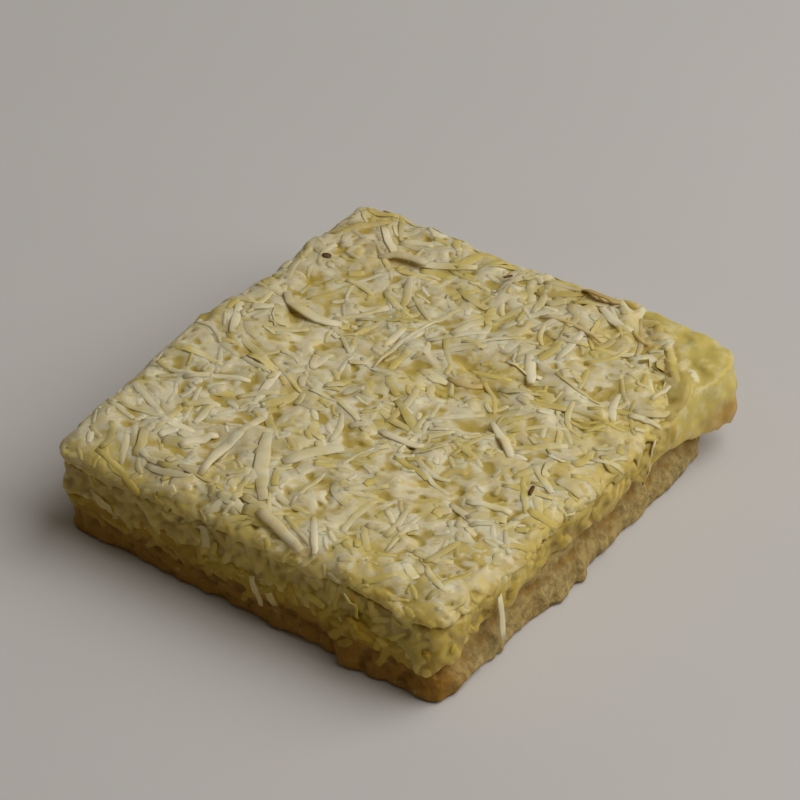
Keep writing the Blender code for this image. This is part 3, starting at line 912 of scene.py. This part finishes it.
def walk(heap, start, direction, shred, stations):
    """Follows the surface both ways from the start. Gives spot, normal and direction at each station."""
    path = [None] * len(stations)
    middle = len(stations) // 2
    spot, normal = heap.touch(start)
    along = (direction - normal * direction.dot(normal)).normalized()
    path[middle] = (spot, normal, along)
    for way in (1, -1):
        here, out, ahead = path[middle]
        index = middle + way
        while 0 <= index < len(stations):
            step = (stations[index] - stations[index - way]) * shred.length
            aside = out.cross(ahead)
            ahead = (ahead + aside * shred.bend * step).normalized()
            here, found = heap.touch(here + ahead * step)
            out = (out + found).normalized()
            ahead = (ahead - out * ahead.dot(out)).normalized()
            path[index] = (here, out, ahead)
            index += way
    return path


def chosen_path(heap, chosen, stations):
    """The way of a listed shred. It follows the surface where that is near, and else hangs free."""
    start, end = Vector(chosen.start) * MM, Vector(chosen.end) * MM
    _, normal = heap.touch(start.lerp(end, 0.5))
    aside = normal.cross(end - start).normalized()
    spots = []
    for station in stations:
        bow = aside * chosen.bow * MM * (1.0 - 4.0 * station * station)
        place = start.lerp(end, station + 0.5) + bow
        spot, out = heap.touch(place)
        spots.append((spot, out) if (spot - place).length < 0.6 * MM else (place, normal))
    path = []
    for index, (spot, out) in enumerate(spots):
        ahead = spots[min(index + 1, len(spots) - 1)][0] - spots[max(index - 1, 0)][0]
        out = (out + normal).normalized()
        path.append((spot, out, (ahead - out * ahead.dot(out)).normalized()))
    return path


def resting_heights(heap, path, shred, pressed_to):
    """How high each station lies: stiff enough to bridge gaps, and pressed into what lies below."""
    found = []
    for spot, normal, ahead in path:
        aside = normal.cross(ahead) * shred.width * 0.4
        found.append(max(heap.height(spot + aside * k, normal) for k in (-1, 0, 1)))
    found = np.array(found)
    along = np.linspace(-1.0, 1.0, len(found))
    slope = (found * along).sum() / (along * along).sum()
    line = found.mean() + slope * along
    heights = np.maximum(0.6 * line + 0.4 * found, found - 0.5 * shred.thickness)
    heights = np.maximum(heights, 0.0)
    return pressed_to * (1.0 - np.exp(-heights / pressed_to)) + shred.curl * np.abs(along) ** 3


def cover_path(heap, path, heights, shred):
    for first in range(len(path) - 1):
        for share in (0.0, 0.33, 0.67):
            spot = path[first][0].lerp(path[first + 1][0], share)
            normal, ahead = path[first][1], path[first][2]
            height = heights[first] * (1 - share) + heights[first + 1] * share
            aside = normal.cross(ahead) * shred.width
            for across in (-0.4, -0.2, 0.0, 0.2, 0.4):
                heap.cover(spot + aside * across, normal, height + 0.7 * shred.thickness)


class Shreds:
    """Copies of one form laid on a heap, with what is written on their points."""

    WRITTEN = ("tint", "soak", "toast", "across")

    def __init__(self, name, form):
        self.name = name
        self.form = form
        self.points = []
        self.values = {written: [] for written in self.WRITTEN}

    def lay(self, heap, start, direction, shred, pressed_to):
        """Bends a copy along the surface. Gives how high its middle lies, or None if it can't lie there."""
        path = walk(heap, start, direction, shred, self.form.stations)
        if max(past_the_coconut(spot) for spot, _, _ in (path[0], path[-1])) > shred.strays:
            return None
        heights = resting_heights(heap, path, shred, pressed_to)
        if not self.bend_copy(path, heights, shred):
            return None
        cover_path(heap, path, heights, shred)
        return float(heights[len(heights) // 2])

    def bend_copy(self, path, heights, shred):
        """Adds a copy that follows a path, unless it would touch the floor."""
        points = []
        for unit, index in zip(self.form.points, self.form.station_of):
            spot, normal, ahead = path[index]
            end = 2.0 * self.form.stations[index]
            slim = 1.0 - shred.taper * end * end
            edge = 1.0 if unit[1] > 0 else -1.0
            slim *= 1.0 + 0.35 * noise.noise(Vector((2.2 * end, shred.sway, 2.0 * edge)))
            aside = normal.cross(ahead) * unit[1] * shred.width * slim
            up = normal * (heights[index] + (unit[2] - SET_IN) * shred.thickness)
            points.append(spot + aside + up)
        if min(point.z for point in points) < FLOOR_CLEARANCE:
            return False
        self.points.extend(points)
        self.values["across"].extend(
            unit[1] * shred.width / MM + shred.sway for unit in self.form.points
        )
        return True

    def write(self, **values):
        """Writes the last copy's tint, soak and toast."""
        for name, value in values.items():
            self.values[name].extend([value] * len(self.form.points))

    def count(self):
        return len(self.points) // len(self.form.points)

    def faces(self):
        size = len(self.form.points)
        return [
            [number * size + index for index in face]
            for number in range(self.count())
            for face in self.form.faces
        ]

    def piece(self):
        """One mesh of all the copies."""
        mesh = bpy.data.meshes.new(self.name)
        mesh.from_pydata(self.points, [], self.faces())
        for name, values in self.values.items():
            write_values(mesh, name, values)
        piece = bpy.data.objects.new(self.name, mesh)
        bpy.context.scene.collection.objects.link(piece)
        return piece


class Ground:
    """The outer faces that shreds may start from, drawn by how much coconut lies there."""

    def __init__(self, heap, pieces, density):
        self.faces, shares = [], []
        for piece in pieces:
            for face in piece.data.polygons:
                middle, normal = face.center.copy(), face.normal.copy()
                share = density(piece.name, middle, normal) * face.area
                if share <= 0.0:
                    continue
                if abs(normal.z) > 0.6 and heap.hidden(middle, normal):
                    continue
                self.faces.append((middle, normal, piece.name))
                shares.append(share)
        self.steps = np.cumsum(shares) / np.sum(shares)

    def starts(self, count, draw):
        picks = np.searchsorted(self.steps, draw.random_sample(count))
        return [self.faces[i] for i in picks]


def pressed_density(name, place, normal):
    """How thickly shreds are pressed in here, from none to 1."""
    if normal.z < -0.5:
        return 0.0
    if name == "matted_coconut":
        return 1.0
    if name == "crumbly_biscuit":
        high = smooth_step((place.z - 3.0 * MM) / (4.0 * MM))
        return 0.6 * high if normal.y < -0.4 else 0.0
    past = past_the_coconut(place)
    if past > 0.0:
        return 0.02 + 0.6 * (1.0 - smooth_step(past / (3.5 * MM)))
    return 0.5 + 0.6 * smooth_step((place.z - 8.2 * MM) / (2.5 * MM))


def loose_density(name, place, normal):
    """How thickly loose shreds lie here, from none to 1."""
    if normal.z < -0.3:
        return 0.0
    if name == "matted_coconut":
        return 0.3 + 0.7 * smooth_step((normal.z - 0.2) / 0.5)
    return 0.12 * pressed_density(name, place, normal)


def direction_at(normal, draw):
    """Any way on the flat top. On the sides shreds tend to hang."""
    turn = draw.uniform(0.0, 2.0 * math.pi)
    direction = Vector((math.cos(turn), math.sin(turn), 0.0))
    if abs(normal.z) < 0.6:
        level = Vector((-normal.y, normal.x, 0.0))
        lean = draw.uniform(-1.2, 1.2)
        direction = level * lean + Vector((0.0, 0.0, -1.0)) * draw.uniform(0.2, 1.0)
    return direction


def stain_at(place, lying, draw):
    """How soaked with curd a shred is: more where it lies low, at the sides and near the bare corner."""
    low = 1.0 - smooth_step(lying / (0.6 * MM))
    side = 1.0 - smooth_step((place.z - TOPPING_LOW.z - 0.5 * MM) / (3.0 * MM))
    corner = math.hypot(place.x - 33.0 * MM, place.y - 37.0 * MM)
    near = 1.0 - smooth_step((corner - 10.0 * MM) / (16.0 * MM))
    patch = 0.0
    for x, y, reach in SOAKED:
        away = math.hypot(place.x - x * MM, place.y - y * MM) / (reach * MM)
        patch = max(patch, 1.0 - smooth_step(away))
    return 0.4 * low + 0.6 * side + 0.3 * near + 0.9 * patch + draw.normal(-0.1, 0.28)


def lay_kinds(heap, ground, kinds, holders, draw, pressed_to):
    """Lays shreds of several kinds in mixed order. holders(kind, owner) gives the Shreds that take one."""
    order = [kind for kind in kinds for _ in range(kind.count)]
    draw.shuffle(order)
    for kind in order:
        options = ground.starts(3, draw)
        start, normal, owner = min(options, key=lambda option: heap.height(*option[:2]))
        shred = Shred(kind, draw)
        if abs(normal.z) < 0.6:
            shred.length = min(shred.length, draw.uniform(1.4, 4.2) * MM)
            shred.width = min(shred.width, draw.uniform(0.7, 1.3) * MM)
        shreds = holders(kind, owner)
        lying = shreds.lay(heap, start, direction_at(normal, draw), shred, pressed_to)
        tint, soaked = draw.uniform(0.0, 1.0), stain_at(start, lying or 0.0, draw)
        toasted = max(0.0, draw.normal(-0.3, 0.25)) + toasted_at(start) * draw.uniform(0.0, 1.0)
        if lying is not None:
            shreds.write(tint=tint, soak=soaked, toast=toasted)


def lay_chosen(heap, shreds, chosen_ones, thickness, draw):
    """Lays the listed shreds, on top of all others."""
    kind = Kind(shreds.name, 1, 1.0, 1.0, thickness, 0.3, 0.0)
    for chosen in chosen_ones:
        shred = Shred(kind, draw)
        shred.fit(chosen)
        path = chosen_path(heap, chosen, shreds.form.stations)
        heights = np.minimum(resting_heights(heap, path, shred, 0.3 * MM) + 0.03 * MM, 0.3 * MM)
        if shreds.bend_copy(path, heights, shred):
            cover_path(heap, path, heights, shred)
            shreds.write(tint=draw.uniform(0.4, 0.9), soak=chosen.soak, toast=chosen.toast)


def toasted_at(place):
    """How browned the top is here: at the far corner, in a dip and along the far edge."""
    browned = 0.0
    for x, y, reach, amount in BROWNED:
        away = math.hypot(place.x - x * MM, place.y - y * MM) / (reach * MM)
        browned = max(browned, amount * (1.0 - smooth_step(away)))
    return browned


def depth_below_neighbours(mesh, rounds):
    """How far each point lies below the smoothed surface round it, in mm."""
    count = len(mesh.vertices)
    places = np.empty(3 * count)
    mesh.vertices.foreach_get("co", places)
    places = places.reshape(-1, 3)
    normals = np.empty(3 * count, dtype=np.float32)
    mesh.vertex_normals.foreach_get("vector", normals)
    pairs = np.empty(2 * len(mesh.edges), dtype=np.int32)
    mesh.edges.foreach_get("vertices", pairs)
    pairs = pairs.reshape(-1, 2)
    ends = np.concatenate([pairs[:, 0], pairs[:, 1]])
    others = np.concatenate([pairs[:, 1], pairs[:, 0]])
    neighbours = np.maximum(np.bincount(ends, minlength=count), 1)
    smooth = places
    for _ in range(rounds):
        sums = [np.bincount(ends, weights=smooth[others, axis], minlength=count) for axis in range(3)]
        smooth = np.stack(sums, axis=1) / neighbours[:, None]
    return ((smooth - places) * normals.reshape(-1, 3)).sum(axis=1) / MM


def write_values(mesh, name, values):
    attribute = mesh.attributes.get(name) or mesh.attributes.new(name, "FLOAT", "POINT")
    attribute.data.foreach_set("value", np.asarray(values, dtype=np.float32))


def fuse(piece, shreds, voxel, smoothing):
    """Makes one skin of a piece and the shreds pressed into it, and writes which shred lies where."""
    lying = shreds.piece()
    deselect_all()
    lying.select_set(True)
    piece.select_set(True)
    bpy.context.view_layer.objects.active = piece
    bpy.ops.object.join()
    apply_modifier(piece, "REMESH", mode="VOXEL", voxel_size=voxel)
    apply_modifier(piece, "SMOOTH", factor=0.5, iterations=smoothing)
    tree = BVHTree.FromPolygons(shreds.points, shreds.faces())
    size, corners_each = len(shreds.form.faces), len(shreds.form.points)
    count = len(piece.data.vertices)
    written = {name: np.zeros(count, dtype=np.float32) for name in Shreds.WRITTEN}
    cover = np.zeros(count, dtype=np.float32)
    for number, vertex in enumerate(piece.data.vertices):
        _, _, face, away = tree.find_nearest(vertex.co, 0.6 * MM)
        if face is None:
            continue
        cover[number] = 1.0 - smooth_step((away - 0.06 * MM) / (0.2 * MM))
        copy, side = divmod(face, size)
        around = [copy * corners_each + index for index in shreds.form.faces[side]]
        point = min(around, key=lambda index: (shreds.points[index] - vertex.co).length_squared)
        for name in Shreds.WRITTEN:
            written[name][number] = shreds.values[name][point]
    written["cover"] = cover
    # Depth below the smoothed surround; the recipes paint shade into the low places from it.
    written["low"] = depth_below_neighbours(piece.data, 36)
    for name, values in written.items():
        write_values(piece.data, name, values)
    make_active(piece)
    bpy.ops.object.shade_smooth()


class SLICE_OT_coconut_shreds(bpy.types.Operator):
    """Press shreds into the coconut and the curd, and lay loose ones on top"""

    bl_idname = "slice.coconut_shreds"
    bl_label = "Coconut Shreds"

    def execute(self, context):
        sizes = context.scene.shred_sizes
        draw = np.random.RandomState(sizes.seed)
        names = ("matted_coconut", "lemon_curd", "crumbly_biscuit")
        pieces = [bpy.data.objects[name] for name in names]
        heap = Heap(pieces)
        form = Form(shred_form("coconut_shred_form", SHRED_SEGMENTS))
        for_pressed = Ground(heap, pieces, pressed_density)
        for_loose = Ground(heap, pieces, loose_density)
        self.press_in(heap, (for_pressed, for_loose), pieces, form, sizes, draw)
        self.lay_loose(Heap(pieces), for_loose, form, sizes, draw)
        return {"FINISHED"}

    @staticmethod
    def press_in(heap, grounds, pieces, form, sizes, draw):
        """Shreds baked into one skin: first those sunk deep, then those that show whole."""
        length, width, thick = sizes.length, sizes.width, sizes.pressed_thickness
        sunk = [
            Kind("threads", 800, 1.05 * length, 1.0 * width, thick, 0.35, 0.0),
            Kind("flakes", 180, 0.75 * length, 1.8 * width, 0.9 * thick, 0.3, 0.0),
            Kind("bits", 1100, 0.4 * length, 0.9 * width, thick, 0.3, 0.0),
        ]
        whole = [
            Kind("threads", 760, 1.25 * length, 1.05 * width, thick, 0.45, 0.0),
            Kind("flakes", 150, 0.75 * length, 1.6 * width, thick, 0.4, 0.0),
            Kind("bits", 520, 0.42 * length, 0.9 * width, thick, 0.4, 0.0),
        ]
        pressed = {piece.name: Shreds("pressed_in_" + piece.name, form) for piece in pieces}
        for ground, kinds in zip(grounds, (sunk, whole)):
            lay_kinds(
                heap, ground, kinds, lambda kind, owner: pressed[owner], draw, sizes.pressed_height
            )
        bed, curd, base = pieces
        fuse(bed, pressed[bed.name], BED_SKIN, 1)
        merge_flat_faces(bed, -1, 3.0 * MM)
        fuse(curd, pressed[curd.name], CURD_SKIN, 1)
        bare = [smooth_step(past_the_coconut(v.co) / (1.5 * MM) + 0.3) for v in curd.data.vertices]
        write_values(curd.data, "bare", bare)
        merge_flat_faces(curd, -1, 3.0 * MM, tiled=True)
        merge_flat_faces(curd, 1, 3.0 * MM, tiled=True)
        fuse(base, pressed[base.name], BISCUIT_SKIN, 1)
        merge_flat_faces(base, -1, 5.0 * MM)
        merge_flat_faces(base, 1, 5.0 * MM)

    @staticmethod
    def lay_loose(heap, ground, form, sizes, draw):
        length, width, thick = sizes.length, sizes.width, sizes.thickness
        kinds = [
            Kind("coconut_threads", 250, 1.2 * length, 0.95 * width, thick, 0.45, 0.0),
            Kind("coconut_flakes", 60, 0.75 * length, 1.4 * width, thick, 0.4, 0.0),
            Kind("coconut_bits", 420, 0.38 * length, 0.75 * width, thick, 0.4, 0.0),
        ]
        loose = {kind.name: Shreds(kind.name, form) for kind in kinds}
        lay_kinds(
            heap, ground, kinds, lambda kind, owner: loose[kind.name], draw, sizes.loose_height
        )
        lay_chosen(heap, loose["coconut_threads"], CHOSEN_SHREDS, 0.24 * MM, draw)
        flecks = Shreds("husk_flecks", form)
        lay_chosen(heap, flecks, HUSK_FLECKS, 0.3 * MM, draw)
        finish_piece(flecks.piece(), husk_recipe())
        for kind in kinds:
            finish_piece(loose[kind.name].piece(), coconut_recipe(kind.name))


class SLICE_OT_stage(bpy.types.Operator):
    """Set the floor, the lights and the camera"""

    bl_idname = "slice.stage"
    bl_label = "Stage"

    def execute(self, context):
        settings = context.scene.stage_settings
        self.lay_floor(settings)
        self.light(context, settings)
        self.place_camera(context, settings)
        context.scene.view_settings.view_transform = "Standard"
        return {"FINISHED"}

    @staticmethod
    def lay_floor(settings):
        deselect_all()
        bpy.ops.mesh.primitive_plane_add(size=3.0, location=(0.0, 0.0, -0.02 * MM))
        floor = bpy.context.object
        floor.name = "pale_floor"
        bpy.ops.object.transform_apply(location=True, rotation=True, scale=True)
        recipe = Recipe("pale_floor")
        soft = recipe.grain(60.0 * MM, 2.0, 0.5)
        tone = tuple(settings.floor)
        darker = (*(0.95 * c for c in tone), 1.0)
        values = {
            "Base Color": recipe.mix(soft, darker, (*tone, 1.0)),
            "Roughness": 0.85,
            "Specular IOR Level": 0.2,
        }
        recipe.feed(recipe.shader, values)
        floor.data.materials.append(recipe.material)

    @staticmethod
    def light(context, settings):
        world = bpy.data.worlds.new("soft_daylight")
        world.use_nodes = True
        background = world.node_tree.nodes["Background"]
        background.inputs["Color"].default_value = (1.0, 0.89, 0.70, 1.0)
        background.inputs["Strength"].default_value = settings.fill
        context.scene.world = world
        towards = Vector((0.52, 0.36, 0.78)).normalized()
        place = towards * 0.85
        deselect_all()
        turn = towards.to_track_quat("Z", "Y").to_euler()
        bpy.ops.object.light_add(type="AREA", location=place, rotation=turn)
        key = bpy.context.object
        key.name = "window_light"
        key.data.shape = "SQUARE"
        key.data.size = settings.key_size
        key.data.energy = settings.key_power
        key.data.color = (1.0, 0.995, 0.99)

    @staticmethod
    def place_camera(context, settings):
        elevation, azimuth = math.radians(CAMERA_ELEVATION), math.radians(CAMERA_AZIMUTH)
        back = Vector(
            (
                math.sin(azimuth) * math.cos(elevation),
                -math.cos(azimuth) * math.cos(elevation),
                math.sin(elevation),
            )
        )
        right = Vector((math.cos(azimuth), math.sin(azimuth), 0.0))
        up = back.cross(right)
        aim = CAMERA_MIDDLE + up * CAMERA_RAISED - right * CAMERA_LEFT
        deselect_all()
        turn = back.to_track_quat("Z", "Y").to_euler()
        bpy.ops.object.camera_add(location=aim + back * settings.camera_distance, rotation=turn)
        camera = bpy.context.object
        camera.name = "photo_camera"
        camera.data.sensor_width = 36.0
        camera.data.lens = 202.5
        camera.data.clip_start = 0.01
        camera.data.clip_end = 10.0
        context.scene.camera = camera


class SLICE_PT_panel(bpy.types.Panel):
    """Buttons and sizes for the slice"""

    bl_label = "Lemon Coconut Slice"
    bl_idname = "SLICE_PT_panel"
    bl_space_type = "VIEW_3D"
    bl_region_type = "UI"
    bl_category = "Slice"

    def draw(self, context):
        scene = context.scene
        for group in (scene.slice_colours, scene.shred_sizes, scene.stage_settings):
            box = self.layout.box()
            for name in group.bl_rna.properties.keys():
                if name not in {"rna_type", "name"}:
                    box.prop(group, name)
        for operator in OPERATORS:
            self.layout.operator(operator.bl_idname)


OPERATORS = (
    SLICE_OT_biscuit_base,
    SLICE_OT_lemon_layer,
    SLICE_OT_coconut_bed,
    SLICE_OT_coconut_shreds,
    SLICE_OT_stage,
)
GROUPS = {
    "slice_colours": SliceColours,
    "shred_sizes": ShredSizes,
    "stage_settings": StageSettings,
}


def register():
    for group in GROUPS.values():
        bpy.utils.register_class(group)
    for name, group in GROUPS.items():
        setattr(bpy.types.Scene, name, bpy.props.PointerProperty(type=group))
    for operator in OPERATORS:
        bpy.utils.register_class(operator)
    bpy.utils.register_class(SLICE_PT_panel)


def unregister():
    bpy.utils.unregister_class(SLICE_PT_panel)
    for operator in reversed(OPERATORS):
        bpy.utils.unregister_class(operator)
    for name in GROUPS:
        delattr(bpy.types.Scene, name)
    for group in reversed(list(GROUPS.values())):
        bpy.utils.unregister_class(group)


def main():
    register()
    bpy.ops.slice.biscuit_base()
    bpy.ops.slice.lemon_layer()
    bpy.ops.slice.coconut_bed()
    bpy.ops.slice.coconut_shreds()
    bpy.ops.slice.stage()


if __name__ == "__main__":
    main()
